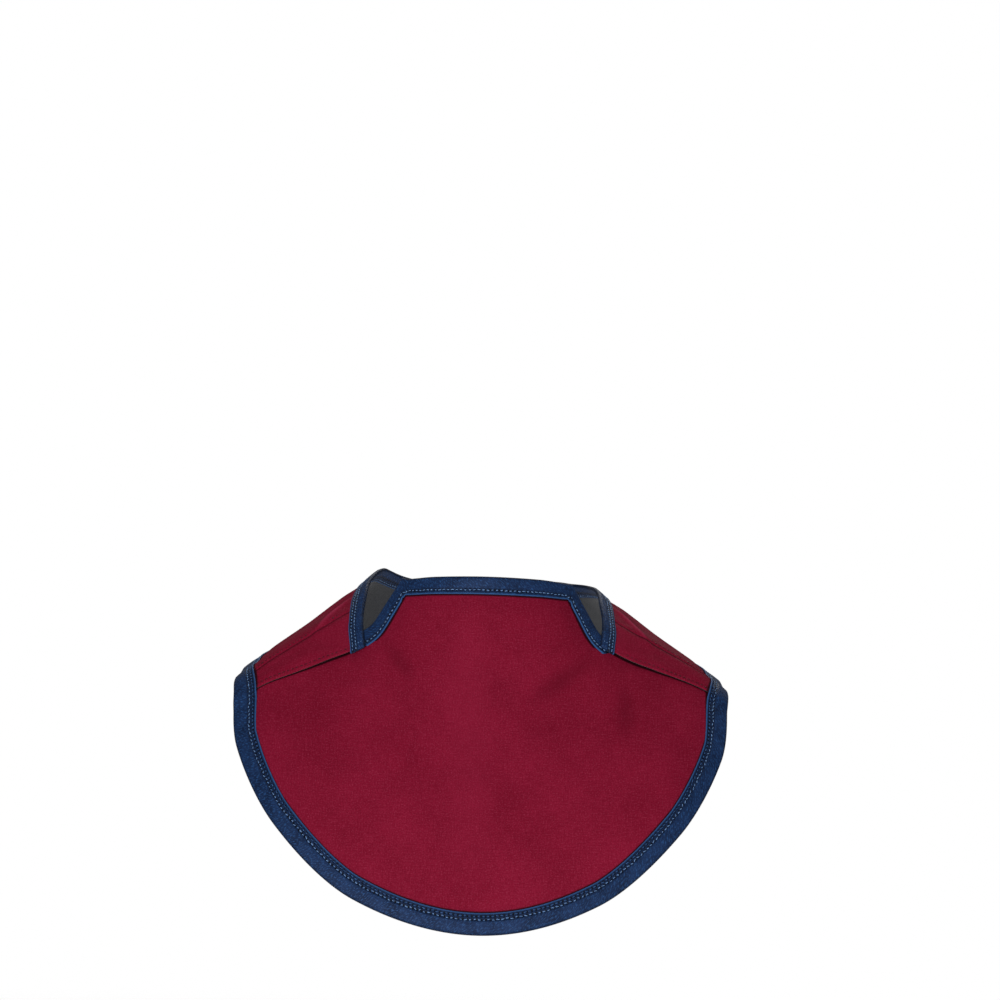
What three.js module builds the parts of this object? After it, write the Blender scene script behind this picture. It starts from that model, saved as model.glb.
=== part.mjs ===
// Thyroid shield collar: a padded bib with a throat tab, two padded wings that lap over the bib, go
// over the shoulders and close behind the neck, and bias binding round every open edge.
// Millimetres, +Z up. The bib faces -Y. The origin is the centre of the neck opening, level with the
// top of the throat tab.

import * as THREE from 'three';

// Neck opening
const neckHalfWidth = 59;
const neckHalfDepth = 62;
const neckDip = 5;

// Outer edge: half its width, and how far the bib and the strap reach from the neck's axis
const hemHalfWidth = 136.5;
const bibReach = 128;
const bibDrop = 193;
const backReach = 92;

// Cloth: a padded panel and its pressed edges, how far in from an edge the padding is full, the bias
// tape, how much of its thickness its folded edge is broken by, its width at the hem, round the throat
// tab and along the wings' neck edge, and the clearance between layers
const panelThickness = 2;
const edgeThickness = 1;
const paddingReach = 14;
const tapeThickness = 1;
const foldBreak = 0.6;
const hemBindingWidth = 12;
const throatBindingWidth = 10;
const neckBindingWidth = 9.2;
const gap = 0.3;

// Bib: half the throat tab's width as a turn round the neck, how much narrower it is at its top and the
// share of the way from neck to hem where that taper ends, the turns of the side edge under the wing,
// and the shares between which the tab's side flares out to it
const tabTurn = 55.5;
const tabTaper = 3.5;
const taperEnd = 0.15;
const sideNotchTurn = 70;
const sideHemTurn = 71.5;
const flareStart = 0.2;
const flareEnd = 0.52;

// Notch beside the tab, where the wing's neck edge meets its front fold, and the share where the
// throat tab's binding ends under the wing
const notchTurn = 52.6;
const notchShare = 0.275;
const throatEnd = 0.335;

// Wings: the turn of the front fold at the hem, how fast it gets there, and the turn past the bib's
// side edge that the wing takes to come down to its own level
const seamHemTurn = 68.5;
const seamBend = 1.7;
const rampTurn = 14;

// Wings' neck edge: the turn where it reaches the top of the neck opening, and how it bends
const ridgeTurn = 102;
const neckEdgeBend = 1.7;

// How far round the notch the wing stays lifted over the binding, and where the lift has gone
const liftFlat = 14;
const liftReach = 60;

// Straps: how far each passes the middle of the back, the stretch where the upper one rises, and the
// fastener between them
const strapOverlapTurn = 20;
const riseStartTurn = 125;
const riseMarginTurn = 4;
const patchTurn = 15;
const patchMargin = 2;
const closureGap = 0.5;

// Steps of the facets
const bibColumnCount = 11;
const bibRowCount = 19;
const lapColumnCount = 3;
const rampColumnCount = 4;
const wingColumnCount = 18;
const wingRowCount = 6;
const sideSteps = 10;
const fanSteps = 3;
const fanSpread = 0.5;
const patchColumnCount = 6;
const patchRowCount = 3;

// Sections round the neck. The turn is in degrees from the front. The dip is a share of neckDip, the
// hem's place is in shares of hemHalfWidth, of bibReach or (behind the neck) backReach, and of
// bibDrop. The slopes are the fall of the cloth in degrees below level, at the neck and at the hem.
const sections = [
  { turn: 0, dip: 0.4, across: 0, forward: 1, drop: 1, neckSlope: 84, hemSlope: 80 },
  { turn: 28, dip: 0.6, across: 0.483, forward: 0.955, drop: 0.912, neckSlope: 80, hemSlope: 76 },
  { turn: 47, dip: 1, across: 0.803, forward: 0.81, drop: 0.716, neckSlope: 72, hemSlope: 66 },
  { turn: 60, dip: 1, across: 0.968, forward: 0.58, drop: 0.514, neckSlope: 63, hemSlope: 52 },
  { turn: 70, dip: 0.9, across: 0.996, forward: 0.375, drop: 0.362, neckSlope: 56, hemSlope: 43 },
  { turn: 80, dip: 0.8, across: 0.994, forward: 0.17, drop: 0.33, neckSlope: 47, hemSlope: 37 },
  { turn: 90, dip: 0.8, across: 0.98, forward: 0, drop: 0.308, neckSlope: 44, hemSlope: 36 },
  { turn: 108, dip: 0.9, across: 0.875, forward: -0.4, drop: 0.288, neckSlope: 46, hemSlope: 40 },
  { turn: 130, dip: 1, across: 0.64, forward: -0.76, drop: 0.28, neckSlope: 57, hemSlope: 46 },
  { turn: 155, dip: 1.1, across: 0.31, forward: -0.95, drop: 0.275, neckSlope: 65, hemSlope: 56 },
  { turn: 180, dip: 1.1, across: 0, forward: -1, drop: 0.272, neckSlope: 69, hemSlope: 60 },
];

const turns = sections.map((s) => s.turn);
const neckZ = sections.map((s) => -s.dip * neckDip);
const hemX = sections.map((s) => s.across * hemHalfWidth);
const hemY = sections.map((s) => -s.forward * (s.forward > 0 ? bibReach : backReach));
const hemZ = sections.map((s) => -s.drop * bibDrop);
const neckSlopes = sections.map((s) => s.neckSlope);
const hemSlopes = sections.map((s) => s.hemSlope);

// Turns, shares and heights that follow from the sizes above
const halfTurn = 180;
const shareProbe = 0.02;
const turnProbe = 0.5;
const edge = tapeThickness + gap;
const strapEndTurn = halfTurn + strapOverlapTurn;
const riseEndTurn = halfTurn - strapOverlapTurn - riseMarginTurn;
const notchLift = 2 * edge;
const closureHeight = panelThickness + 2 * edge + closureGap;

function mix(a, b, share) {
  return a + (b - a) * share;
}

function clamp(x) {
  return Math.min(Math.max(x, 0), 1);
}

// 0 up to the first bound, 1 past the second, smooth between
function smooth(from, to, x) {
  const s = clamp((x - from) / (to - from));
  return s * s * (3 - 2 * s);
}

// Value at a turn, on a cubic through the sections, mirrored at the front and at the back.
// The parity is 1 for a value that is the same on both sides and -1 for one that changes sign.
function through(values, turn, parity) {
  const last = turns.length - 1;
  const allTurns = [-turns[1], ...turns, 2 * turns[last] - turns[last - 1]];
  const allValues = [parity * values[1], ...values, parity * values[last - 1]];
  const slopeAt = (i) => (allValues[i + 2] - allValues[i]) / (allTurns[i + 2] - allTurns[i]);
  const after = turns.findIndex((t) => t > turn);
  const i = after < 0 ? last - 1 : after - 1;
  const span = turns[i + 1] - turns[i];
  const t = (turn - turns[i]) / span;
  return (2 * t ** 3 - 3 * t ** 2 + 1) * values[i]
    + (t ** 3 - 2 * t ** 2 + t) * span * slopeAt(i)
    + (3 * t ** 2 - 2 * t ** 3) * values[i + 1]
    + (t ** 3 - t ** 2) * span * slopeAt(i + 1);
}

// Underside of the collar: a turn round the neck, and a share of the way from the neck to the hem.
// Each section is one cubic arc that leaves the neck and meets the hem at its two slopes.
function surface(turn, share) {
  const beyond = Math.abs(turn) > halfTurn;
  const a = beyond ? 2 * halfTurn - Math.abs(turn) : Math.abs(turn);
  const side = (turn < 0 ? -1 : 1) * (beyond ? -1 : 1);
  const r = THREE.MathUtils.degToRad(a);
  const neck = new THREE.Vector3(
    neckHalfWidth * Math.sin(r),
    -neckHalfDepth * Math.cos(r),
    through(neckZ, a, 1),
  );
  const hem = new THREE.Vector3(through(hemX, a, -1), through(hemY, a, 1), through(hemZ, a, 1));
  const across = hem.clone().sub(neck);
  const arm = across.length() / 3;
  const level = across.setZ(0).normalize();
  const lean = (slopes) => {
    const s = THREE.MathUtils.degToRad(through(slopes, a, 1));
    return level.clone().multiplyScalar(arm * Math.cos(s)).setZ(-arm * Math.sin(s));
  };
  const curve = new THREE.CubicBezierCurve3(
    neck,
    neck.clone().add(lean(neckSlopes)),
    hem.clone().sub(lean(hemSlopes)),
    hem,
  );
  const at = cubicPoint(curve, share);
  at.x *= side;
  return at;
}

// Point on a cubic arc, which may lie a little before its start or past its end
function cubicPoint(curve, t) {
  const u = 1 - t;
  return new THREE.Vector3()
    .addScaledVector(curve.v0, u ** 3)
    .addScaledVector(curve.v1, 3 * u ** 2 * t)
    .addScaledVector(curve.v2, 3 * u * t ** 2)
    .addScaledVector(curve.v3, t ** 3);
}

// Direction and length of one degree of turn, and of the whole way from neck to hem
function roundStep(turn, share) {
  const [ahead, behind] = [surface(turn + turnProbe, share), surface(turn - turnProbe, share)];
  return ahead.sub(behind).divideScalar(2 * turnProbe);
}

function downStep(turn, share) {
  const [below, above] = [surface(turn, share + shareProbe), surface(turn, share - shareProbe)];
  return below.sub(above).divideScalar(2 * shareProbe);
}

// Place at a height above the underside, measured square to it
function place(turn, share, height) {
  const out = downStep(turn, share).cross(roundStep(turn, share)).normalize();
  return surface(turn, share).addScaledVector(out, height);
}

// Degrees of turn that a length in millimetres takes
function degrees(length, turn, share) {
  return length / roundStep(turn, share).length();
}

// Side edge of the bib, as a turn for each share: the tab's side, tapered at its top, flaring out
// under the wing
function sideTurn(share) {
  const tab = tabTurn - tabTaper * (1 - clamp(share / taperEnd)) ** 2;
  const hidden = mix(sideNotchTurn, sideHemTurn, clamp((share - notchShare) / (1 - notchShare)));
  return mix(tab, hidden, smooth(flareStart, flareEnd, share));
}

// The wing's front fold, as a turn for each share
function seamTurn(share) {
  const s = clamp((share - notchShare) / (1 - notchShare));
  return mix(notchTurn, seamHemTurn, (1 - Math.exp(-seamBend * s)) / (1 - Math.exp(-seamBend)));
}

// Wing's neck edge, as a share for each turn: it climbs from the notch to the top of the opening
function neckEdge(turn) {
  return notchShare * (1 - clamp((turn - notchTurn) / (ridgeTurn - notchTurn))) ** neckEdgeBend;
}

// Slope of the bib's side edge, as the length round the neck for each length down
function sideSlope(share) {
  const turn = sideTurn(share);
  const turned = (sideTurn(share + shareProbe) - sideTurn(share - shareProbe)) / (2 * shareProbe);
  return turned * roundStep(turn, share).length() / downStep(turn, share).length();
}

// Turn and share of a place beside the bib's side edge, at an inset square to that edge
function besideSide(share, inset) {
  const turn = sideTurn(share);
  const slope = sideSlope(share);
  const square = inset / Math.hypot(1, slope);
  const down = square * slope / downStep(turn, share).length();
  return { turn: turn - degrees(square, turn, share), share: share + down };
}

// Thickness of a padded panel for the lengths from its edges: thin at an edge, full well inside
function padding(...lengths) {
  return mix(edgeThickness, panelThickness, smooth(0, paddingReach, Math.min(...lengths)));
}

function bibHigh(turn, share) {
  const down = downStep(turn, share).length();
  const fromSide = (sideTurn(share) - Math.abs(turn)) * roundStep(turn, share).length();
  return padding(share * down, (1 - share) * down, fromSide);
}

// Height of the wing's underside: it lies on the bib, is lifted over the bindings in the notch, comes
// down past the bib's side edge, and on the upper strap rises over the lower one behind the neck
const liftCentre = besideSide(notchShare, throatBindingWidth / 2);

function wingLow(turn, share, upper) {
  const away = surface(turn, share).distanceTo(surface(liftCentre.turn, liftCentre.share));
  const lift = notchLift * (1 - smooth(liftFlat, liftReach, away));
  const lap = (bibHigh(turn, share) + gap) * (1 - smooth(0, rampTurn, turn - sideTurn(share)));
  return lap + lift + strapRise(turn, upper);
}

function strapRise(turn, upper) {
  return upper ? closureHeight * smooth(riseStartTurn, riseEndTurn, turn) : 0;
}

function wingHigh(turn, share, upper) {
  const down = downStep(turn, share).length();
  const fromFold = (turn - seamTurn(share)) * roundStep(turn, share).length();
  const thickness = padding((share - neckEdge(turn)) * down, (1 - share) * down, fromFold);
  return wingLow(turn, share, upper) + thickness;
}

// Share of the way that a length square to an edge takes along a column. The column is a turn for
// each share, and the edge is given by its direction.
function reach(column, from, to, edgeDirection) {
  const along = surface(column(to), to).sub(surface(column(from), from)).divideScalar(to - from);
  return 1 / along.cross(edgeDirection.normalize()).length();
}

function hemShare(column, inset) {
  return 1 - inset * reach(column, 1 - shareProbe, 1, roundStep(column(1), 1));
}

function neckShare(column, inset) {
  const turn = column(0);
  const top = neckEdge(turn);
  const along = surface(turn + turnProbe, neckEdge(turn + turnProbe)).sub(surface(turn, top));
  return top + inset * reach(column, top, top + shareProbe, along);
}

function tabShare(column, inset) {
  return inset / downStep(column(0), 0).length();
}

// Closed mesh from corner places and triangles, with its faces turned outwards
function closedMesh(name, corners, triangles, material) {
  let volume = 0;
  for (const [a, b, c] of triangles) {
    volume += corners[a].dot(corners[b].clone().cross(corners[c]));
  }
  const outward = volume > 0 ? triangles : triangles.map(([a, b, c]) => [a, c, b]);
  const geometry = new THREE.BufferGeometry();
  geometry.setAttribute('position', new THREE.Float32BufferAttribute(corners.flatMap((p) => p.toArray()), 3));
  geometry.setIndex(outward.flat());
  geometry.computeVertexNormals();
  const mesh = new THREE.Mesh(geometry, material);
  mesh.name = name;
  return mesh;
}

// Padded panel: a grid of columns and rows with an underside, a top, and a wall round the outside
function panel(name, columns, rowShares, low, high, material) {
  const places = columns.map((column) => rowShares(column).map((share) => {
    const turn = column(share);
    return [place(turn, share, low(turn, share)), place(turn, share, high(turn, share))];
  }));
  const [across, down] = [columns.length, places[0].length];
  const corner = (i, j, top) => 2 * (i * down + j) + (top ? 1 : 0);
  const triangles = [];
  const quad = (a, b, c, d) => triangles.push([a, b, c], [a, c, d]);
  const wall = ([i, j], [k, l]) => {
    quad(corner(k, l, true), corner(i, j, true), corner(i, j, false), corner(k, l, false));
  };
  for (let i = 0; i < across - 1; i += 1) {
    for (let j = 0; j < down - 1; j += 1) {
      const cell = [[i, j], [i, j + 1], [i + 1, j + 1], [i + 1, j]];
      quad(...cell.map(([a, b]) => corner(a, b, true)));
      quad(...cell.map(([a, b]) => corner(a, b, false)).reverse());
    }
  }
  for (let j = 0; j < down - 1; j += 1) {
    wall([0, j], [0, j + 1]);
    wall([across - 1, j + 1], [across - 1, j]);
  }
  for (let i = 0; i < across - 1; i += 1) {
    wall([i + 1, 0], [i, 0]);
    wall([i, down - 1], [i + 1, down - 1]);
  }
  return closedMesh(name, places.flat(2), triangles, material);
}

// Section of the binding: how far in from the edge, on top or beneath, and how far off the panel.
// It folds round the edge with its corners broken, and leaves a clear slot for the panel.
function bindingSection(width) {
  const bend = foldBreak * tapeThickness;
  return [
    { inset: width, top: true, off: edge },
    { inset: width / 2, top: true, off: edge },
    { inset: bend, top: true, off: edge },
    { inset: 0, top: true, off: edge - bend },
    { inset: 0, top: false, off: edge - bend },
    { inset: bend, top: false, off: edge },
    { inset: width / 2, top: false, off: edge },
    { inset: width, top: false, off: edge },
    { inset: width, top: false, off: gap },
    { inset: width / 2, top: false, off: gap },
    { inset: tapeThickness, top: false, off: gap },
    { inset: tapeThickness, top: true, off: gap },
    { inset: width / 2, top: true, off: gap },
    { inset: width, top: true, off: gap },
  ];
}

// Binding along an edge. A station gives the turn and share for an inset, and the heights there.
function binding(name, width, stations, material) {
  const section = bindingSection(width);
  const size = section.length;
  const corners = stations.flatMap((station) => section.map(({ inset, top, off }) => {
    const { turn, share } = station.at(inset);
    const height = top ? station.high(turn, share) + off : station.low(turn, share) - off;
    return place(turn, share, height);
  }));
  const triangles = [];
  for (let i = 0; i < stations.length - 1; i += 1) {
    for (let k = 0; k < size; k += 1) {
      const next = (k + 1) % size;
      const [a, b] = [i * size + k, i * size + next];
      triangles.push([a, b, b + size], [a, b + size, a + size]);
    }
  }
  const outline = section.map(({ inset, top, off }) => (
    new THREE.Vector2(inset, top ? panelThickness + off : -off)
  ));
  const base = (stations.length - 1) * size;
  const clockwise = THREE.ShapeUtils.isClockWise(outline);
  for (const [a, b, c] of THREE.ShapeUtils.triangulateShape(outline, [])) {
    const [first, second] = clockwise ? [c, b] : [b, c];
    triangles.push([a, second, first], [base + a, base + first, base + second]);
  }
  return closedMesh(name, corners, triangles, material);
}

// The same station on the other side
function mirrored(station) {
  return {
    ...station,
    at: (inset) => {
      const { turn, share } = station.at(inset);
      return { turn: -turn, share };
    },
    low: (turn, share) => station.low(-turn, share),
    high: (turn, share) => station.high(-turn, share),
  };
}

// Columns of the bib on one side: shares of its width, then insets from its side edge
function innerColumn(step) {
  return (share) => step * edgeColumn(throatBindingWidth)(share);
}

function edgeColumn(inset) {
  return (share) => {
    const turn = sideTurn(share);
    return turn - degrees(inset * Math.hypot(1, sideSlope(share)), turn, share);
  };
}

// Columns of the wing: across the lap, down to its own level, then round to the strap's end
function lapColumn(step) {
  return (share) => mix(seamTurn(share), sideTurn(Math.max(share, flareEnd)), step);
}

function rampColumn(step) {
  return (share) => lapColumn(1)(share) + step * rampTurn;
}

function strapColumn(step) {
  return (share) => mix(lapColumn(1)(share) + rampTurn, strapEndTurn, step);
}

const steps = (count) => Array.from({ length: count }, (_, i) => (i + 1) / count);
const between = (from, to, count) => steps(count + 1).slice(0, -1).map((step) => mix(from, to, step));
const bibColumns = [
  ...steps(bibColumnCount).map(innerColumn),
  edgeColumn(throatBindingWidth / 2),
  edgeColumn(edge),
];
const wingColumns = [
  lapColumn(0),
  ...steps(lapColumnCount).map(lapColumn),
  ...steps(rampColumnCount).map(rampColumn),
  ...steps(wingColumnCount).map(strapColumn),
];
const other = (column) => (share) => -column(share);

// Rows of a panel: under the upper binding, across the body, under the hem's binding
function rows(column, fromTop, bindingWidth, bodyCount) {
  const right = (share) => Math.abs(column(share));
  const top = [edge, bindingWidth / 2, bindingWidth].map((inset) => fromTop(right, inset));
  const hem = [hemBindingWidth, hemBindingWidth / 2, edge].map((inset) => hemShare(right, inset));
  return [...top, ...between(top.at(-1), hem[0], bodyCount), ...hem];
}

const bibLow = () => 0;

function makeBib(material) {
  const columns = [...bibColumns.map(other).reverse(), () => 0, ...bibColumns];
  const bibRows = (column) => rows(column, tabShare, throatBindingWidth, bibRowCount);
  return panel('front_bib', columns, bibRows, bibLow, bibHigh, material);
}

function makeWing(name, upper, material) {
  const columns = upper ? wingColumns : wingColumns.map(other);
  const low = (turn, share) => wingLow(Math.abs(turn), share, upper);
  const high = (turn, share) => wingHigh(Math.abs(turn), share, upper);
  const wingRows = (column) => rows(column, neckShare, neckBindingWidth, wingRowCount);
  return panel(name, columns, wingRows, low, high, material);
}

// Binding of the whole hem: on the bib, over bib and wing where they lap, and on to the strap's end
function makeOuterBinding(material) {
  const station = (column, low, high) => ({
    at: (inset) => {
      const share = hemShare(column, inset);
      return { turn: column(share), share };
    },
    low,
    high,
  });
  const beforeFold = (share) => seamTurn(share) - degrees(edge, seamHemTurn, 1);
  const onBib = bibColumns.filter((column) => column(1) < beforeFold(1));
  const bibStations = [...onBib, beforeFold].map((column) => station(column, bibLow, bibHigh));
  const wingStations = (upper) => wingColumns.map((column) => station(
    column,
    (turn) => strapRise(turn, upper),
    (turn, share) => wingHigh(turn, share, upper),
  ));
  const stations = [
    ...[...bibStations, ...wingStations(false)].map(mirrored).reverse(),
    station(() => 0, bibLow, bibHigh),
    ...bibStations,
    ...wingStations(true),
  ];
  return binding('outer_binding', hemBindingWidth, stations, material);
}

function makeNeckBinding(name, upper, material) {
  const stations = wingColumns.map((column) => ({
    at: (inset) => {
      const share = neckShare(column, inset);
      return { turn: column(share), share };
    },
    low: (turn, share) => wingLow(turn, share, upper),
    high: (turn, share) => wingHigh(turn, share, upper),
  }));
  return binding(name, neckBindingWidth, upper ? stations : stations.map(mirrored), material);
}

// Binding of the throat tab: along its top, mitred round its corners, down its sides and a little way
// under the wings. Round a corner the stations fan out from just inside the mitre.
function makeThroatBinding(material) {
  const wide = throatBindingWidth + fanSpread;
  const flat = (at) => ({ at, low: bibLow, high: bibHigh });
  const corner = (across, down) => {
    const share = tabShare(() => tabTurn, down);
    const turn = sideTurn(share);
    return { turn: turn - degrees(across, turn, share), share };
  };
  const slant = (fan, inset) => {
    const deepest = throatBindingWidth + fanSpread * fan;
    return mix(wide * fan, deepest, inset / throatBindingWidth);
  };
  const fans = steps(fanSteps).reverse();
  const alongTop = steps(bibColumnCount).slice(0, -1).map((step) => flat((inset) => {
    const share = tabShare(() => tabTurn * step, inset);
    return { turn: step * corner(wide, inset).turn, share };
  }));
  const beforeCorner = fans.map((fan) => flat((inset) => corner(slant(fan, inset), inset)));
  const atCorner = flat((inset) => corner(inset, inset));
  const afterCorner = fans.map((fan) => flat((inset) => corner(inset, slant(fan, inset)))).reverse();
  const sideStart = corner(0, wide).share;
  const sideShares = steps(sideSteps).map((step) => mix(sideStart, throatEnd, step));
  const downSide = sideShares.map((share) => flat((inset) => besideSide(share, inset)));
  const half = [...alongTop, ...beforeCorner, atCorner, ...afterCorner, ...downSide];
  const middle = flat((inset) => ({ turn: 0, share: tabShare(() => 0, inset) }));
  const stations = [...half.map(mirrored).reverse(), middle, ...half];
  return binding('throat_binding', throatBindingWidth, stations, material);
}

// Fastener between the two straps, clear of their bindings
function makeClosurePatch(material) {
  const across = [-1, ...steps(patchColumnCount).map((s) => 2 * s - 1)];
  const columns = across.map((s) => () => halfTurn + s * patchTurn);
  const patchRows = (column) => {
    const from = neckShare(column, neckBindingWidth + patchMargin);
    const to = hemShare(column, hemBindingWidth + patchMargin);
    return [0, ...steps(patchRowCount)].map((s) => mix(from, to, s));
  };
  const low = () => panelThickness + gap;
  const high = () => closureHeight - gap;
  return panel('closure_patch', columns, patchRows, low, high, material);
}

function cloth(color, roughness) {
  return new THREE.MeshStandardMaterial({ color, roughness, metalness: 0, side: THREE.FrontSide });
}

const shell = cloth('#7b172d', 0.62);
const tape = cloth('#1c2f52', 0.5);
const fastener = cloth('#161d2c', 0.9);

const group = new THREE.Group();
group.add(
  makeBib(shell.clone()),
  makeWing('left_wing', false, shell.clone()),
  makeWing('right_wing', true, shell.clone()),
  makeOuterBinding(tape.clone()),
  makeThroatBinding(tape.clone()),
  makeNeckBinding('left_neck_binding', false, tape.clone()),
  makeNeckBinding('right_neck_binding', true, tape.clone()),
  makeClosurePatch(fastener.clone()),
);

export default group;
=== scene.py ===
import math

import bpy
import numpy as np
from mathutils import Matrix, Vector


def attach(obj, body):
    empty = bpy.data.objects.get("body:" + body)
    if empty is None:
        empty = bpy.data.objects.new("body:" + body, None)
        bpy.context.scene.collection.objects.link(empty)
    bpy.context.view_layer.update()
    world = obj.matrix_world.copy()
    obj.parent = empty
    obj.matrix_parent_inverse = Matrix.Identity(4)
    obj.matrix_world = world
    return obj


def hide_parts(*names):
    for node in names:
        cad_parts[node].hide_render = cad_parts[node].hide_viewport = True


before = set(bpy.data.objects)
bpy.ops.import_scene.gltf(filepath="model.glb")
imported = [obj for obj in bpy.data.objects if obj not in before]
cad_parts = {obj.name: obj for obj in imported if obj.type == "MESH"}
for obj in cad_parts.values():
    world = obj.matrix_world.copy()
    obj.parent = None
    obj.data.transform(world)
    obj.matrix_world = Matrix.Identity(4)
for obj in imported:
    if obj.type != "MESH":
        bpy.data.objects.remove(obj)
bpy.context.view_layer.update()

# Padded thyroid shield collar: burgundy coated nylon with navy bias binding.
# Shapes are worked out in millimetres, with the collar facing -Y, and turned to metres in the mesh.

chance = np.random.default_rng(7)
millimetre = 0.001      # in metres
probe = 0.02            # step of share over which a slope is measured


# The collar's surface

neckLine = {"halfWidth": 59.0, "halfDepth": 62.0, "dip": 5.0}
hemLine = {"halfWidth": 136.8, "bibReach": 128.0, "backReach": 92.0, "bibDrop": 193.0}

# how the collar hangs askew: the hem to one side, the neck edge lower on the right, both in millimetres,
# and the turns over which each comes in and goes out again
askew = {
    "hem": -1.7, "hemIn": (0, 45), "hemOut": (150, 100),
    "neck": 4.0, "neckIn": (45, 75), "neckOut": (140, 95),
}

# turn from the front in degrees, dip of the neck, hem across, forward and down as shares of the
# sizes above, fall of the cloth in degrees at the neck and at the hem
sections = np.array([
    [0, 0.4, 0, 1, 1, 84, 80],
    [28, 0.6, 0.483, 0.955, 0.912, 80, 76],
    [47, 1, 0.803, 0.81, 0.716, 72, 66],
    [60, 1, 0.968, 0.58, 0.514, 63, 52],
    [70, 0.9, 0.993, 0.375, 0.362, 56, 43],
    [80, 0.8, 0.986, 0.17, 0.33, 47, 37],
    [90, 0.8, 0.971, 0, 0.308, 44, 36],
    [108, 0.9, 0.875, -0.4, 0.288, 46, 40],
    [130, 1.3, 0.64, -0.76, 0.28, 57, 46],
    [155, 1.7, 0.31, -0.95, 0.275, 65, 56],
    [180, 1.7, 0, -1, 0.272, 69, 60],
])

# turns and shares of the cut: throat tab, notch, front fold of the wing, ridge, strap. A pair of a notch,
# fold, ridge or neck edge holds its left and its right side, which hang a little differently; the other
# pairs are starts and ends
cut = {
    "tabTurn": 55.5, "tabTaper": 3.5, "tabTaperEnd": 0.15,
    "sideNotchTurn": 70.0, "sideHemTurn": 72.0, "sideFlare": (0.2, 0.52), "sideBend": 0.3,
    "notchTurn": 52.1, "notchShare": (0.302, 0.262),
    "foldHemTurn": (67.3, 69.7), "foldBend": (1.6, 1.8), "rampTurn": 14.0,
    "ridgeTurn": (105.0, 100.0), "neckEdgeBend": (1.5, 1.9),
    "strapTurn": 200.0, "strapRise": (125.0, 156.0),
}
throatEnd = {"outer": 0.335, "inner": 0.264}    # shares at which the throat tape's two edges end

# thicknesses of what is sewn, in millimetres: a panel in its middle and at its pressed edge, with the lengths
# from the edge where it starts to fill and is full; the tape; air between; the straps' closure
layers = {
    "panel": 2.1, "edge": 1.0, "flat": 8.0, "full": 21.0, "tape": 0.55, "air": 0.1, "closure": 5.1,
    "foldLead": 13.0,                       # a wing's fold is filled as far as a place this far inside
    "liftSpot": (0.275, 5.0),               # share and inset of the spot over which the wing lifts most
    "liftNear": 14.0, "liftFar": 60.0,      # lengths from it where the lift starts to fade and has gone
}
wrap = layers["tape"] + layers["air"]


def mix(a, b, t):
    # the straight run from a to b
    return a + (b - a) * t


def smooth(start, end, x):
    # 3t^2 - 2t^3 of the place between start and end, held at 0 and 1 outside
    t = np.clip((x - start) / (end - start), 0, 1)
    return t * t * (3 - 2 * t)


def through(column, turn, parity):
    # cubic Hermite curve through a column of the sections, mirrored at the front and at the back
    t, y = sections[:, 0], column
    turns = np.concatenate([[-t[1]], t, [360 - t[-2]]])
    values = np.concatenate([[parity * y[1]], y, [parity * y[-2]]])
    slope = (values[2:] - values[:-2]) / (turns[2:] - turns[:-2])
    i = np.clip(np.searchsorted(t, turn, side="right") - 1, 0, len(t) - 2)
    span = t[i + 1] - t[i]
    s = (turn - t[i]) / span
    return ((2 * s**3 - 3 * s**2 + 1) * y[i] + (s**3 - 2 * s**2 + s) * span * slope[i]
            + (3 * s**2 - 2 * s**3) * y[i + 1] + (s**3 - s**2) * span * slope[i + 1])


def surface(turn, share):
    # underside of the collar: one cubic arc for each turn, from an ellipse round the opening to the hem,
    # that leaves and arrives at the section's two slopes; share is the place on the arc
    turn, share = np.broadcast_arrays(np.asarray(turn, float), np.asarray(share, float))
    a = np.abs(turn)
    beyond = a > 180
    a = np.where(beyond, 360 - a, a)
    side = np.where(turn < 0, -1.0, 1.0) * np.where(beyond, -1.0, 1.0)
    r = np.radians(a)
    neck = np.stack([neckLine["halfWidth"] * np.sin(r), -neckLine["halfDepth"] * np.cos(r),
                     -neckLine["dip"] * through(sections[:, 1], a, 1)], -1)
    ahead = sections[:, 3] * np.where(sections[:, 3] > 0, hemLine["bibReach"], hemLine["backReach"])
    hem = np.stack([hemLine["halfWidth"] * through(sections[:, 2], a, -1), -through(ahead, a, 1),
                    -hemLine["bibDrop"] * through(sections[:, 4], a, 1)], -1)
    across = hem - neck
    arm = np.linalg.norm(across, axis=-1, keepdims=True) / 3
    level = across * [1, 1, 0] / np.linalg.norm(across[..., :2], axis=-1, keepdims=True)
    leans = []
    for column in (5, 6):
        s = np.radians(through(sections[:, column], a, 1))[..., None]
        leans.append(arm * (level * np.cos(s) - np.array([0, 0, 1]) * np.sin(s)))
    t = share[..., None]
    u = 1 - t
    point = u**3 * neck + 3 * u**2 * t * (neck + leans[0]) + 3 * u * t**2 * (hem - leans[1]) + t**3 * hem
    point[..., 0] *= side
    share = np.clip(share, 0, 1)
    atHem = smooth(*askew["hemIn"], a) * smooth(*askew["hemOut"], a)
    atNeck = smooth(*askew["neckIn"], a) * smooth(*askew["neckOut"], a)
    point[..., 0] += askew["hem"] * atHem * share**2
    point[..., 2] -= side * askew["neck"] * atNeck * (1 - share)
    return point


def stepRound(turn, share):
    # how the surface runs over one degree of turn
    return surface(turn + 0.5, share) - surface(turn - 0.5, share)


def stepDown(turn, share):
    # how the surface runs over one whole share, measured close to the point
    return (surface(turn, share + probe) - surface(turn, share - probe)) / (2 * probe)


def unit(v):
    # a vector over its length
    return v / np.maximum(np.linalg.norm(v, axis=-1, keepdims=True), 1e-9)


def outward(turn, share):
    # unit vector square to the surface, towards the outside
    return unit(np.cross(stepDown(turn, share), stepRound(turn, share)))


def place(turn, share, height):
    # point that stands off the surface by a height
    return surface(turn, share) + outward(turn, share) * np.asarray(height)[..., None]


def length(v):
    # root of the sum of squares
    return np.linalg.norm(v, axis=-1)


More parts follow.
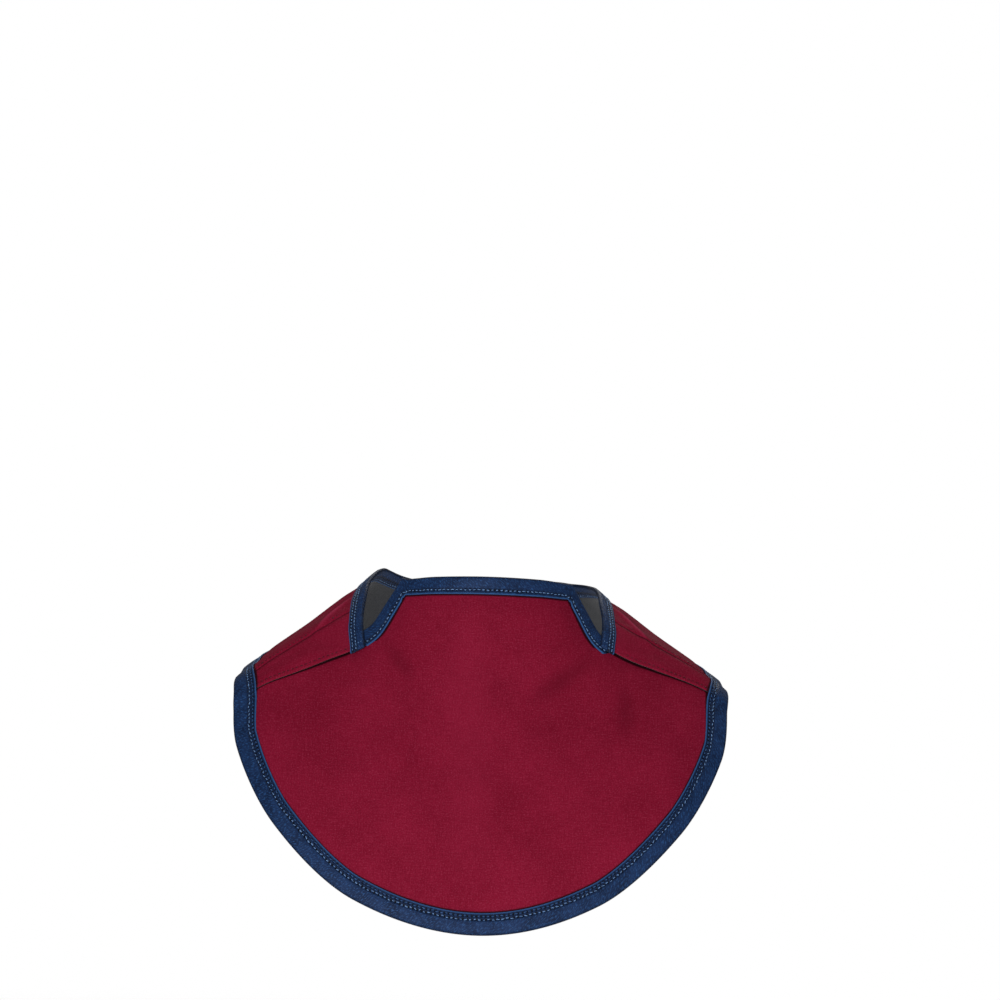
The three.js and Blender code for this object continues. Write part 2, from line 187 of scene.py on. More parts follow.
# Lines of the cut

def pick(name, side):
    # the left or the right value of a pair
    left, right = cut[name]
    return np.where(np.asarray(side) < 0, left, right)


def sideTurn(share):
    # side edge of the bib: the tab's side, tapered at its top, flaring out to the edge under the wing
    tab = cut["tabTurn"] - cut["tabTaper"] * (1 - np.clip(share / cut["tabTaperEnd"], 0, 1)) ** 2
    below = np.clip((share - cut["sideBend"]) / (1 - cut["sideBend"]), 0, 1)
    hidden = mix(cut["sideNotchTurn"], cut["sideHemTurn"], below)
    return mix(tab, hidden, smooth(*cut["sideFlare"], share))


def foldTurn(share, side):
    # front fold of the wing: an exponential run-out from the notch to the hem
    start, bend = pick("notchShare", side), pick("foldBend", side)
    s = np.clip((share - start) / (1 - start), 0, 1)
    return mix(cut["notchTurn"], pick("foldHemTurn", side), (1 - np.exp(-bend * s)) / (1 - np.exp(-bend)))


def neckShare(turn, side):
    # neck edge of the wing: a bent ramp from the notch up to the ridge
    t = np.minimum((turn - cut["notchTurn"]) / (pick("ridgeTurn", side) - cut["notchTurn"]), 1)
    return pick("notchShare", side) * (1 - t) ** pick("neckEdgeBend", side)


def sideSlope(share, roundLength, downLength):
    # millimetres that the bib's side edge goes round for each millimetre down
    return (sideTurn(share + probe) - sideTurn(share - probe)) / (2 * probe) * roundLength / downLength


def besideSide(share, inset):
    # turn and share of a point at an inset square to the bib's side edge
    turn = sideTurn(share)
    roundLength = length(stepRound(turn, share))
    downLength = length(stepDown(turn, share))
    slope = sideSlope(share, roundLength, downLength)
    square = inset / np.hypot(1, slope)
    return turn - square / roundLength, share + square * slope / downLength


def padding(inside):
    # pressed flat under the tape, then full a little way inside it
    return mix(layers["edge"], layers["panel"], smooth(layers["flat"], layers["full"], inside))


def fromHem(turn, share):
    # length square to the hem
    return (1 - share) * length(np.cross(stepDown(turn, 1.0), unit(stepRound(turn, 1.0))))


def fromThroat(turn, share):
    # least length square to the top and to the sides of the bib
    around, down = length(stepRound(turn, share)), length(stepDown(turn, share))
    slope = sideSlope(share, around, down)
    return np.minimum(share * down, (sideTurn(share) - np.abs(turn)) * around / np.hypot(1, slope))


def bibInside(turn, share):
    # least length from the bib's edges
    return np.minimum(fromHem(turn, share), fromThroat(turn, share))


def bibHigh(turn, share):
    # top of the bib's pad
    return padding(bibInside(turn, share))


liftCentre = surface(*besideSide(*layers["liftSpot"]))


def strapRise(turn, side):
    # the right strap is the upper one
    return layers["closure"] * smooth(*cut["strapRise"], turn) * (np.asarray(side) > 0)


def wingLow(turn, share, side):
    # lies on the bib, lifts over the bindings in the notch, comes down past the bib's side
    turn, share = np.broadcast_arrays(turn, share)
    away = length(surface(turn, share) - liftCentre)
    lap = (bibHigh(turn, share) + layers["air"]) * (1 - smooth(0, cut["rampTurn"], turn - sideTurn(share)))
    lift = 2 * wrap * (1 - smooth(layers["liftNear"], layers["liftFar"], away))
    return lap + lift + strapRise(turn, side)


def fromNeck(turn, share, side):
    # length square to the wing's neck edge
    along, around = length(stepDown(turn, share)), length(stepRound(turn, share))
    slope = (neckShare(turn + 1, side) - neckShare(turn - 1, side)) / 2 * along / around
    return (share - neckShare(turn, side)) * along / np.hypot(1, slope)


def wingInside(turn, share, side):
    # least length from the wing's neck edge and hem
    return np.minimum(fromNeck(turn, share, side), fromHem(turn, share))


def wingHigh(turn, share, side):
    # top of the wing's pad: its underside and its padding, which is fuller at the fold than under a tape
    turn, share = np.broadcast_arrays(turn, share)
    fromFold = (turn - foldTurn(share, side)) * length(stepRound(turn, share))
    inside = np.minimum(wingInside(turn, share, side), fromFold + layers["foldLead"])
    return wingLow(turn, share, side) + padding(inside)


def wingTurn(step, share, side):
    # columns of a wing run from its front fold to the strap's end
    return mix(foldTurn(share, side), cut["strapTurn"], step)


# Meshes

def makeMesh(name, points, faces, materials, uv=None, faceMaterial=None, marks=None):
    # an object at the origin from points in millimetres, with its own map and its marks
    mesh = bpy.data.meshes.new(name)
    mesh.from_pydata((points * millimetre).tolist(), [], faces)
    for material in materials:
        mesh.materials.append(material)
    if faceMaterial is not None:
        mesh.polygons.foreach_set("material_index", faceMaterial)
    mesh.polygons.foreach_set("use_smooth", [True] * len(mesh.polygons))
    for mark, values in (marks or {}).items():
        layer = mesh.attributes.new(mark, "FLOAT", "POINT")
        layer.data.foreach_set("value", values.astype(np.float32).ravel())
    if uv is not None:
        corners = np.empty(len(mesh.loops), int)
        mesh.loops.foreach_get("vertex_index", corners)
        layer = mesh.uv_layers.new(name="cloth")
        layer.data.foreach_set("uv", uv[corners].astype(np.float32).ravel())
    mesh.validate()
    mesh.update()
    piece = bpy.data.objects.new(name, mesh)
    bpy.context.scene.collection.objects.link(piece)
    return piece


def quads(index):
    # faces between neighbours of a grid of vertex numbers
    a, b, c, d = index[:-1, :-1], index[1:, :-1], index[1:, 1:], index[:-1, 1:]
    return np.stack([a, b, c, d], -1).reshape(-1, 4)


def shellPiece(name, top, bottom, uvTop, materials, marks=None):
    # padded panel: the top and the underside of one grid, joined by a strip round the rim; the marks hold
    # each point's distance from the nearest tape, seam or fold, and how far it stands out, in millimetres
    rows, columns = top.shape[:2]
    count = rows * columns
    index = np.arange(count).reshape(rows, columns)
    upper = quads(index)
    lower = quads(index + count)[:, ::-1]
    rim = np.concatenate([index[:, 0], index[-1, 1:], index[-2::-1, -1], index[0, -2::-1]])
    strip = np.stack([rim[:-1], rim[1:], rim[1:] + count, rim[:-1] + count], -1)[:, ::-1]
    normal = np.cross(top[rows // 2 + 1, columns // 2] - top[rows // 2, columns // 2],
                      top[rows // 2, columns // 2 + 1] - top[rows // 2, columns // 2])
    outside = np.dot(normal, (top - bottom)[rows // 2, columns // 2]) > 0
    faces = np.concatenate([upper, lower, strip])
    if not outside:
        faces = faces[:, ::-1]
    points = np.concatenate([top.reshape(-1, 3), bottom.reshape(-1, 3)])
    uv = np.concatenate([uvTop.reshape(-1, 2)] * 2)
    lining = np.repeat([0, 1, 0], [len(upper), len(lower), len(strip)])
    marks = {mark: np.concatenate([values.reshape(-1)] * 2) for mark, values in (marks or {}).items()}
    return makeMesh(name, points, faces.tolist(), materials, uv, lining, marks)


def runs(points, axis):
    # length travelled along one axis of a grid
    step = length(np.diff(points, axis=axis))
    start = np.zeros_like(np.take(step, [0], axis=axis))
    return np.concatenate([start, np.cumsum(step, axis=axis)], axis=axis)


def crease(points, lines):
    # sum of rounded ridges and hollows along short lines on the cloth: rise * exp(-(distance/width)^2),
    # lower towards the ends of the line by a sine
    total = np.zeros(points.shape[:-1])
    for line in lines:
        start, end = (surface(*line[key]) for key in ("from", "to"))
        along = end - start
        t = np.clip(((points - start) @ along) / (along @ along), 0, 1)
        away = length(points - start - t[..., None] * along)
        total += line["rise"] * np.exp(-(away / line["width"]) ** 2) * np.sin(np.pi * mix(0.12, 0.88, t))
    return total


def ripples(points, scale, seed):
    # soft unevenness: the mean of twelve plane waves of about one length in random directions
    source = np.random.default_rng(seed)
    total = np.zeros(points.shape[:-1])
    for _ in range(12):
        direction = unit(source.normal(size=3)) * 2 * np.pi / (scale * source.uniform(0.7, 1.5))
        total += np.sin(points @ direction + source.uniform(0, 2 * np.pi))
    return total / 12


# Materials

def linear(hexColour):
    # sRGB hex to the linear colour that the shader takes
    parts = [int(hexColour[i:i + 2], 16) / 255 for i in (1, 3, 5)]
    return tuple(c / 12.92 if c <= 0.04045 else ((c + 0.055) / 1.055) ** 2.4 for c in parts) + (1.0,)


def addNode(tree, kind, settings=None, links=None):
    # settings name a socket, by its name or number, or else a property of the node
    node = tree.nodes.new(kind)
    for key, value in (settings or {}).items():
        if isinstance(key, int) or key in node.inputs:
            node.inputs[key].default_value = value
        else:
            setattr(node, key, value)
    for key, socket in (links or {}).items():
        tree.links.new(socket, node.inputs[key])
    return node


def newMaterial(name):
    # a material with a bare shader on its output
    material = bpy.data.materials.new(name)
    material.use_nodes = True
    tree = material.node_tree
    tree.nodes.clear()
    shader = addNode(tree, "ShaderNodeBsdfPrincipled")
    addNode(tree, "ShaderNodeOutputMaterial", links={"Surface": shader.outputs[0]})
    return material, tree, shader


def waveOf(tree, source, spacing):
    # sine of a length in millimetres, one crest for each spacing
    angle = {"operation": "MULTIPLY", 1: 2 * math.pi / spacing}
    scaled = addNode(tree, "ShaderNodeMath", angle, {0: source})
    return addNode(tree, "ShaderNodeMath", {"operation": "SINE"}, {0: scaled.outputs[0]}).outputs[0]


def clothPosition(tree):
    # millimetres along and across the cloth, from the piece's own map: as a vector and as its parts
    vector = addNode(tree, "ShaderNodeUVMap", {"uv_map": "cloth"}).outputs[0]
    return vector, addNode(tree, "ShaderNodeSeparateXYZ", links={0: vector}).outputs


def stretched(tree, vector, along, across, detail=2.0):
    # noise drawn out into threads: one feature for each along and across millimetres
    scaled = addNode(tree, "ShaderNodeMapping", {"Scale": (1 / along, 1 / across, 1)}, {"Vector": vector})
    return addNode(tree, "ShaderNodeTexNoise", {"Scale": 1.0, "Detail": detail, "Roughness": 0.55},
                   {"Vector": scaled.outputs[0]}).outputs[0]


def tinted(tree, look, tints):
    # the look's colour with tints laid over it in turn: as the tint's value goes from its low to its high,
    # its colour comes in from nothing to its strength
    base = None
    for value, low, high, strength, colour in tints:
        factor = addNode(tree, "ShaderNodeMapRange", {1: low, 2: high, 4: strength}, {0: value}).outputs[0]
        node = addNode(tree, "ShaderNodeMix", {"data_type": "RGBA", "clamp_factor": True}, {0: factor})
        if base is None:
            node.inputs[6].default_value = linear(look["colour"])
        else:
            tree.links.new(base, node.inputs[6])
        node.inputs[7].default_value = linear(look[colour])
        base = node.outputs[2]
    return base


def finished(tree, shader, look, base, height=None, rough=None):
    # the look's gloss on the shader, with what the colour, the bump and the roughness follow
    for key, value in look["gloss"].items():
        shader.inputs[key].default_value = value
    tree.links.new(base, shader.inputs["Base Color"])
    if height is not None:
        bump = addNode(tree, "ShaderNodeBump", look["bump"], {"Height": height})
        tree.links.new(bump.outputs[0], shader.inputs["Normal"])
    if rough is not None:
        tree.links.new(rough, shader.inputs["Roughness"])


# Coated woven nylon, plain weave of 0.35 mm threads: drawn at 0.9 mm so that it shows. The slubs in warp
# and weft give the eye a faint cross grain, the coating gives a low broad gloss, and fine light specks are
# painted glints on the threads. Crests of creases get a painted highlight and hollows painted shade, and
# painted shadow darkens thin lines along the seams, beside the wing's fold and beside the tapes.
nylonLook = {
    "colour": "#83122e", "dark": "#740b25", "light": "#951f3d", "speck_glint": "#a53f5a",
    # crest and hollow are a painted highlight on crease crests and painted shade in their hollows
    "crest": "#a83050", "hollow": "#560719", "painted_line_shadow": "#1c060d",
    "thread": 0.9, "slub": (0.8, 7.0), "patch": 34.0, "grit": 0.75,     # sizes in millimetres
    "roughness": (0.76, 0.65),      # between the slubs and on them
    "gloss": {"IOR": 1.5, "Specular IOR Level": 0.04, "Sheen Weight": 0.02, "Sheen Roughness": 0.45,
              "Sheen Tint": linear("#d0506a")},
    "bump": {"Strength": 0.22, "Distance": 0.0002},
}


def wovenNylon(name, look):
    # tints by patches, by the sum of both slubs, by specks, and by the marks that the mesh carries; the
    # weave's height is the product of a wave across and a wave along
    material, tree, shader = newMaterial(name)
    vector, parts = clothPosition(tree)
    short, long = look["slub"]
    warp = stretched(tree, vector, short, long)
    weft = stretched(tree, vector, long, short)
    patchy = {"Scale": 1 / look["patch"], "Detail": 3.0}
    patches = addNode(tree, "ShaderNodeTexNoise", patchy, {"Vector": vector})
    grain = addNode(tree, "ShaderNodeMath", {"operation": "ADD"}, {0: warp, 1: weft}).outputs[0]
    fine = addNode(tree, "ShaderNodeTexNoise", {"Scale": 1 / look["grit"], "Detail": 1.0}, {"Vector": vector})
    relief = addNode(tree, "ShaderNodeAttribute", {"attribute_name": "relief"}).outputs["Fac"]
    beside = addNode(tree, "ShaderNodeAttribute", {"attribute_name": "from_seam"}).outputs["Fac"]
    base = tinted(tree, look, [
        (patches.outputs[0], 0.35, 0.7, 1.0, "dark"),
        (grain, 0.92, 1.35, 0.4, "light"),
        (grain, 0.98, 0.7, 0.4, "dark"),
        # fine light specks: painted glints on the threads
        (fine.outputs[0], 0.52, 0.8, 0.4, "speck_glint"),
        (fine.outputs[0], 0.48, 0.25, 0.5, "dark"),
        # crease crests lighter: painted highlight; crease hollows darker: painted shade
        (relief, 0.15, 1.4, 0.5, "light"),
        (relief, 0.7, 1.4, 0.75, "crest"),
        (relief, -0.15, -1.2, 0.4, "hollow"),
        # painted shadow: thin dark lines beside the tapes, under the wing's fold and along the second seam
        (beside, 1.15, 0.5, 0.92, "painted_line_shadow"),
    ])
    across = waveOf(tree, parts[0], look["thread"])
    along = waveOf(tree, parts[1], look["thread"])
    weave = addNode(tree, "ShaderNodeMath", {"operation": "MULTIPLY"}, {0: across, 1: along}).outputs[0]
    height = addNode(tree, "ShaderNodeMath", {"operation": "MULTIPLY_ADD", 1: 0.5}, {0: weave, 2: grain})
    between, on = look["roughness"]
    rough = addNode(tree, "ShaderNodeMapRange", {1: 0.7, 2: 1.3, 3: between, 4: on}, {0: grain})
    finished(tree, shader, look, base, height.outputs[0], rough.outputs[0])
    return material


# Woven polyester bias tape: cut at 45 degrees, so its satin threads of 0.2 mm run slantwise, drawn at 0.5 mm
# so that they show. Its inner fold is lighter, painted highlight and rubbing; its outer edge is darker, soil
# and painted shade; the cloth is dark where the stitches press it, soil and painted shade; and the needle
# holes between them are painted near black, as shade.
tapeLook = {
    "colour": "#1b3158", "dark": "#10203e", "light": "#2f588f", "rubbed_fold_highlight": "#37669f", "soil_and_shade": "#05080f",
    "thread": (0.5, 1.9), "crossThread": (1.2, 0.5), "patch": 9.0,      # sizes in millimetres
    "stitch": 2.5, "holeReach": 1.0, "pressReach": 1.5,
    "roughness": (0.58, 0.42),      # between the threads and on them
    "gloss": {"IOR": 1.5, "Specular IOR Level": 0.1, "Sheen Weight": 0.03, "Sheen Roughness": 0.4},
    "bump": {"Strength": 0.45, "Distance": 0.0003},
}


def biasTape(name, look, width, rowInsets):
    # needle holes are the crests of a wave along the tape, kept to narrow bands at the stitch rows, which
    # run through a wider dark band; both fade with the length from the nearest row. The band is soil and
    # painted shade where the stitches press the cloth; the holes are painted shade.
    material, tree, shader = newMaterial(name)
    vector, parts = clothPosition(tree)
    along, inset = parts[0], parts[1]
    slant = {"Rotation": (0, 0, math.radians(45))}
    turned = addNode(tree, "ShaderNodeMapping", slant, {"Vector": vector}).outputs[0]
    threads = stretched(tree, turned, *look["thread"], 1.0)
    cross = stretched(tree, turned, *look["crossThread"], 1.0)
    patchy = {"Scale": 1 / look["patch"], "Detail": 3.0}
    patches = addNode(tree, "ShaderNodeTexNoise", patchy, {"Vector": vector})
    nearest = None
    for row in rowInsets:
        away = addNode(tree, "ShaderNodeMath", {"operation": "SUBTRACT", 1: row}, {0: inset}).outputs[0]
        away = addNode(tree, "ShaderNodeMath", {"operation": "ABSOLUTE"}, {0: away}).outputs[0]
        if nearest is not None:
            away = addNode(tree, "ShaderNodeMath", {"operation": "MINIMUM"}, {0: nearest, 1: away}).outputs[0]
        nearest = away
    crest = waveOf(tree, along, look["stitch"])
    peak = addNode(tree, "ShaderNodeMapRange", {1: -0.3, 2: 0.5}, {0: crest}).outputs[0]
    band = addNode(tree, "ShaderNodeMapRange", {1: look["holeReach"], 2: 0.25}, {0: nearest}).outputs[0]
    holes = addNode(tree, "ShaderNodeMath", {"operation": "MULTIPLY"}, {0: band, 1: peak}).outputs[0]
    base = tinted(tree, look, [
        (patches.outputs[0], 0.35, 0.68, 1.0, "dark"),
        (threads, 0.5, 0.72, 0.75, "light"),
        (cross, 0.5, 0.28, 0.55, "dark"),
        (inset, 1.3, 0.3, 0.6, "soil_and_shade"),                             # outer edge darker: soil and painted shade along the bend
        (inset, width - 0.75, width - 0.45, 0.62, "rubbed_fold_highlight"),        # inner fold lighter: painted highlight and rubbing
        # pressed stitch line darker: soil and painted shade
        (nearest, look["pressReach"], 0.6, 0.75, "dark"),
        # needle holes near black: painted shade in the recesses
        (holes, 0.0, 1.0, 0.95, "soil_and_shade"),
    ])
    weave = addNode(tree, "ShaderNodeMath", {"operation": "ADD"}, {0: threads, 1: cross}).outputs[0]
    height = addNode(tree, "ShaderNodeMath", {"operation": "MULTIPLY_ADD", 1: -1.4}, {0: holes, 2: weave})
    between, on = look["roughness"]
    rough = addNode(tree, "ShaderNodeMapRange", {1: 0.3, 2: 0.7, 3: between, 4: on}, {0: threads})
    finished(tree, shader, look, base, height.outputs[0], rough.outputs[0])
    return material


# Spun polyester sewing thread, 0.4 mm: a twist of two plies, lighter and glossier than the tape.
threadGloss = {"Roughness": 0.45, "Specular IOR Level": 0.2}
blueLook = {"colour": "#86aad6", "dark": "#3f649a", "gloss": threadGloss}
shadeLook = {"colour": "#446a9f", "dark": "#1f3862", "gloss": threadGloss}      # darker copy of the blue thread: painted shade
redLook = {"colour": "#3d0817", "dark": "#25040c", "gloss": threadGloss}


def sewingThread(name, look):
    # slanted bands for the two plies, the darker bands a painted shade in the groove between them
    material, tree, shader = newMaterial(name)
    position = addNode(tree, "ShaderNodeTexCoord").outputs["Object"]
    plies = {"Scale": 900.0, "Distortion": 1.5, "bands_direction": "DIAGONAL"}
    twist = addNode(tree, "ShaderNodeTexWave", plies, {"Vector": position}).outputs["Fac"]
    finished(tree, shader, look, tinted(tree, look, [(twist, 0.0, 1.0, 1.0, "dark")]))
    return material


# Brushed polyester lining, near black: short nap gives a matt, slightly mottled face.
liningLook = {
    "colour": "#14171d", "mottled": "#1d2028", "nap": "#2f333e", "napSize": 1 / 1.4, "patch": 14.0,
    "gloss": {"Roughness": 0.9, "Sheen Weight": 0.25}, "bump": {"Strength": 0.4, "Distance": 0.0003},
}


def brushedLining(name, look):
    # nap over mottled patches, both noise
    material, tree, shader = newMaterial(name)
    vector = clothPosition(tree)[0]
    napped = {"Scale": 1 / look["napSize"], "Detail": 4.0}
    patchy = {"Scale": 1 / look["patch"], "Detail": 2.0}
    nap = addNode(tree, "ShaderNodeTexNoise", napped, {"Vector": vector})
    patches = addNode(tree, "ShaderNodeTexNoise", patchy, {"Vector": vector})
    base = tinted(tree, look, [
        (patches.outputs[0], 0.3, 0.7, 1.0, "mottled"),
        (nap.outputs[0], 0.4, 0.75, 0.6, "nap"),
    ])
    finished(tree, shader, look, base, nap.outputs[0])
    return material


# Hook-and-loop tape: a pile of nylon loops, matt and rough.
pileLook = {
    "colour": "#2a3040", "dark": "#0e1119", "loop": 1.25,
    "gloss": {"Roughness": 0.95, "Sheen Weight": 0.3},
    "bump": {"Strength": 0.8, "Distance": 0.0006, "invert": True},
}


def loopPile(name, look):
    # cells as wide as a loop, darker between them: painted shade in the gaps between the loops
    material, tree, shader = newMaterial(name)
    vector = clothPosition(tree)[0]
    cells = addNode(tree, "ShaderNodeTexVoronoi", {"Scale": 1 / look["loop"]}, {"Vector": vector})
    loops = cells.outputs["Distance"]
    finished(tree, shader, look, tinted(tree, look, [(loops, 0.1, 0.7, 1.0, "dark")]), loops)
    return material


# Finishes of this collar

# finished widths, insets of the stitch rows from the outer edge, heights of the crown and of the fold's bead
hemTape = {
    "width": 12.0, "rows": (8.4, 10.2), "crown": 0.35, "bead": 0.22,
    "climb": (-2.0, 0.1),                                       # turns from the fold over which it climbs
    "frontTurn": 68.5, "frontCount": 620, "wingCount": 520,     # stations are closer on the bib
}
throatTape = {
    "width": 10.0, "rows": (7.6,), "crown": 0.3, "bead": 0.22,
    "slack": 0.5, "topCount": 96, "fanCount": 9, "sideCount": 90,       # slack round the tab's corners
}
neckTape = {
    "width": 9.2, "rows": (5.3, 7.4), "crown": 0.25, "bead": 0.2,
    "squared": 13.0,                    # length from the notch past which insets run square to the edge
    "ahead": (0.62, 0.5, 0.3, 0.1),     # degrees by which it starts before the notch, station by station
    "count": 440, "crowd": 1.1,         # stations crowd towards the notch
}

shellCloth = wovenNylon("coated_woven_nylon", nylonLook)
liningCloth = brushedLining("brushed_lining", liningLook)
hemCloth = biasTape("woven_bias_tape_hem", tapeLook, hemTape["width"], hemTape["rows"])
throatCloth = biasTape("woven_bias_tape_throat", tapeLook, throatTape["width"], throatTape["rows"])
neckCloth = biasTape("woven_bias_tape_neck", tapeLook, neckTape["width"], neckTape["rows"])
blueThread = sewingThread("blue_sewing_thread", blueLook)
shadeThread = sewingThread("shaded_sewing_thread", shadeLook)
redThread = sewingThread("burgundy_sewing_thread", redLook)
pileTape = loopPile("hook_and_loop_pile", pileLook)
print("materials made")


# Front bib

bib = {
    "across": 190, "down": 168, "edgeInset": 0.9,
    "crowdAcross": 1.15, "crowdDown": 0.35,     # how far columns and rows crowd towards the edges
    "unevenness": 0.16, "rippleLength": 38.0, "rippleSeed": 3,
    "calm": (11, 20),                           # lengths from the edge over which creases come in
    "uvDown": 1.05,                             # length down the cloth for each millimetre of height
    "pastTape": 4.0,                            # how fast the painted shadow line leaves the tape past its end
    "foldShade": 0.6,                           # the painted shadow line beside the wing's fold is this much narrower
    "creases": [
        {"from": (46, 0.29), "to": (20, 0.35), "width": 5.5, "rise": -1.3},
        {"from": (53, 0.45), "to": (45, 0.58), "width": 5.5, "rise": -1.1},
        {"from": (24, 0.38), "to": (12, 0.55), "width": 7.0, "rise": -0.4},
        {"from": (-45, 0.24), "to": (-30, 0.31), "width": 4.5, "rise": -1.1},
        {"from": (-8, 0.12), "to": (-2, 0.86), "width": 13.0, "rise": 0.7},
        {"from": (-45, 0.4), "to": (-43, 0.46), "width": 8.0, "rise": 0.6},
        {"from": (-23, 0.44), "to": (-21, 0.62), "width": 5.0, "rise": -0.3},
    ],
}


def makeBib():
    # grid of shares of the bib's width and shares of the way down; top and underside of the pad
    step = np.linspace(-1, 1, bib["across"])[:, None]
    step = np.sign(step) * (1 - (1 - np.abs(step)) ** bib["crowdAcross"])
    down = np.linspace(0, 1, bib["down"])[None, :]
    down = mix(down, smooth(0, 1, down), bib["crowdDown"])
    roundLength = length(stepRound(60.0, 0.5))      # near the side edge
    start = bib["edgeInset"] / length(stepDown(np.abs(step * 50), 0.0))
    end = 1 - bib["edgeInset"] / length(stepDown(np.abs(step * 68), 1.0))
    share = mix(start, end, down)
    turn = step * (sideTurn(share) - bib["edgeInset"] / roundLength)
    ground = surface(turn, share)
    creased = crease(ground, bib["creases"])
    relief = creased + bib["unevenness"] * ripples(ground, bib["rippleLength"], bib["rippleSeed"])
    top = place(turn, share, bibHigh(turn, share) + relief * smooth(*bib["calm"], bibInside(turn, share)))
    bottom = place(turn, share, np.zeros_like(turn))
    uv = np.stack([ground[..., 0], ground[..., 2] * bib["uvDown"]], -1)
    # distances that the painted shadow lines follow: past the tapes' edges and beside the wing's fold
    beyondTape = np.maximum(share - throatEnd["inner"], 0) * length(stepDown(turn, share))
    fromTape = fromThroat(turn, share) - throatTape["width"] + bib["pastTape"] * beyondTape
    fromSeam = np.minimum(fromTape, fromHem(turn, share) - hemTape["width"])
    fromFold = (foldTurn(share, turn) - np.abs(turn)) * length(stepRound(turn, share))
    fromSeam = np.minimum(fromSeam, fromFold + bib["foldShade"])
    marks = {"from_seam": fromSeam, "relief": creased}
    return shellPiece("padded_bib", top, bottom, uv, [shellCloth, liningCloth], marks)


# Wings

wing = {
    "round": 300, "down": 76, "edgeInset": 0.9, "foldRadius": 0.8,
    "run": 220.0,           # about its length, by which the first and last columns are set
    "crowd": 1.35,          # how far the columns crowd towards the fold
    "unevenness": 0.14, "rippleLength": 26.0, "rippleSeed": 11,
    "calm": (9.3, 13),      # lengths from the edge over which creases come in
    "topstitch": 2.2,       # from the fold and from the second seam
    "stitchDepth": 0.25, "stitchWidth": 0.8,
    "foldStitches": {"from": 0.37, "to": 0.9, "rise": -0.2},    # shares at the ends, height over the pad
    "seamStitches": {"past": 0.1, "to": 0.88, "rise": 0.15},
    "seam": {-1: ((67.2, 0.25), (70.4, 1.0)), 1: ((67.0, 0.23), (74.2, 1.0))},  # turn, share at its ends
    "seamDepth": 0.42, "seamWidth": 0.9,
    "puff": 0.2, "puffAway": 3.0, "puffWidth": 2.0,     # on both sides of the second seam
    "seamShade": 0.42,      # the painted shadow line along the second seam is this much narrower on each side
    "creases": {
        1: [
            {"from": (79, 0.16), "to": (68.5, 0.46), "width": 1.9, "rise": 1.5},
            {"from": (84, 0.17), "to": (74, 0.5), "width": 3.0, "rise": -0.9},
            {"from": (88, 0.2), "to": (82, 0.6), "width": 5.0, "rise": 0.5},
            {"from": (118, 0.15), "to": (122, 0.85), "width": 9.0, "rise": 0.35},
            {"from": (140, 0.1), "to": (137, 0.8), "width": 8.0, "rise": -0.3},
        ],
        -1: [
            {"from": (77, 0.22), "to": (68.5, 0.5), "width": 1.9, "rise": 1.5},
            {"from": (83, 0.2), "to": (74, 0.52), "width": 3.0, "rise": -0.9},
            {"from": (88, 0.15), "to": (84, 0.6), "width": 4.0, "rise": 0.5},
            {"from": (100, 0.1), "to": (96, 0.7), "width": 8.0, "rise": -0.35},
            {"from": (121, 0.2), "to": (118, 0.9), "width": 9.0, "rise": 0.3},
            {"from": (146, 0.1), "to": (142, 0.8), "width": 8.0, "rise": -0.3},
        ],
    },
}


def seamLine(share, side):
    # second seam of the wing: a straight run of turn for share
    (a, s), (b, e) = wing["seam"][side]
    return mix(a, b, (share - s) / (e - s))


def wingGrid(side):
    # turn and share of each point: columns crowd towards the fold, rows are even
    step = np.linspace(0, 1, wing["round"]) ** wing["crowd"]
    fine = np.array([0, 0.08, 0.22, 0.45, 0.8, 1.2]) / wing["run"]
    last = 1 - fine[4:0:-1]
    gap = 0.004
    body = step[(step > fine[-1] + gap) & (step < last[0] - gap)]
    step = np.concatenate([fine, body, last, [1]])[:, None]
    down = np.linspace(0, 1, wing["down"])[None, :]
    first = wingTurn(step, 0.0, side)
    top = neckShare(first, side)
    start = top + wing["edgeInset"] / length(stepDown(first, top))
    end = 1 - wing["edgeInset"] / length(stepDown(wingTurn(step, 1.0, side), 1.0))
    share = mix(start, end, down)
    return wingTurn(step, share, side), share


